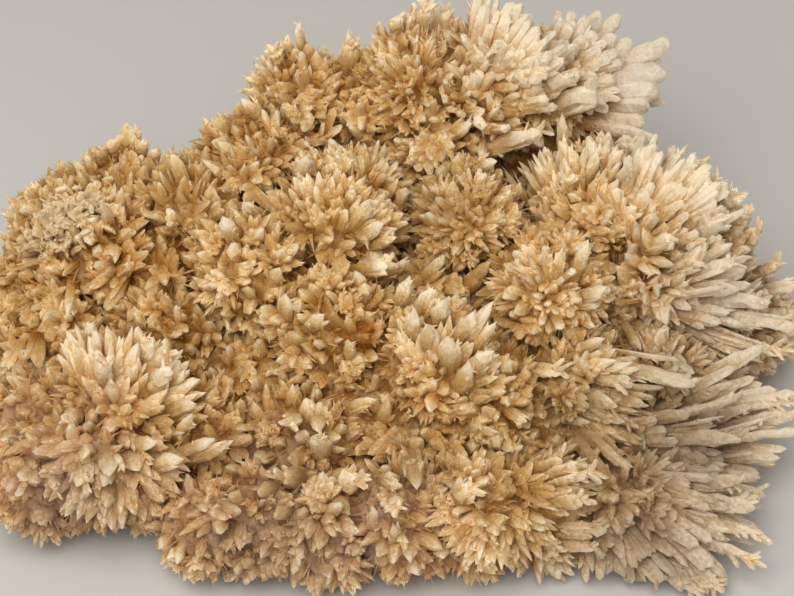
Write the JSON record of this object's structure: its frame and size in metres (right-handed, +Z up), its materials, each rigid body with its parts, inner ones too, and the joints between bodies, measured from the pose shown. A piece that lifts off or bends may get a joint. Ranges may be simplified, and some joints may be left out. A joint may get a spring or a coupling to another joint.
{
  "type": "aragonite sputnik cluster",
  "caption": "Cabinet-size cluster of honey and cream aragonite crystals that radiate from many grown-together rosettes, resting on a small flat spot.",
  "frame": {"origin": "centre of the flat spot that the cluster rests on, in its resting plane", "axes": "+Z up from the resting plane, +X along the cluster's length, -Y towards the show face's lower edge"},
  "size_m": [0.2239, 0.1663, 0.0816],
  "materials": {
    "aragonite_cluster": "translucent honey and cream crystal, waxy faces"
  },
  "bodies": {
    "root": {"aragonite_cluster": "aragonite_cluster"}
  },
  "joints": []
}
